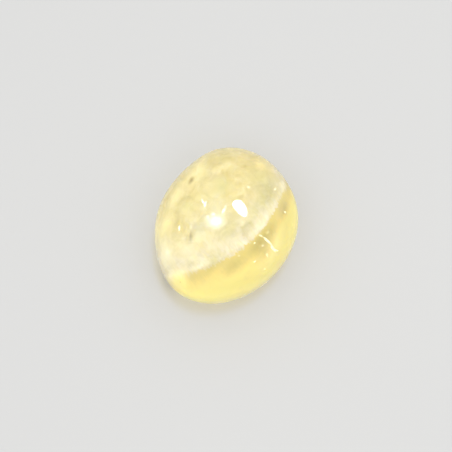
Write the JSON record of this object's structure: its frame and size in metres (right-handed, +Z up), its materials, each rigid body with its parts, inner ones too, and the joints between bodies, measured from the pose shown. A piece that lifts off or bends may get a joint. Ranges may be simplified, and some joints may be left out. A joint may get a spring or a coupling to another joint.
{
  "type": "tumbled yellow quartz stone",
  "caption": "Small egg-shaped tumbled quartz pebble, pale yellow and translucent with a milky veil inside, polished all over, resting on one small flat.",
  "frame": {"origin": "middle of the pebble's box at its base, on the flat that it rests on", "axes": "+Z up, out of the resting flat through the crown; +X along the pebble's length; +Y across it"},
  "size_m": [0.0252, 0.0216, 0.016],
  "materials": {
    "polished_quartz": "polished"
  },
  "bodies": {
    "root": {"quartz_pebble": "polished_quartz"}
  },
  "joints": []
}
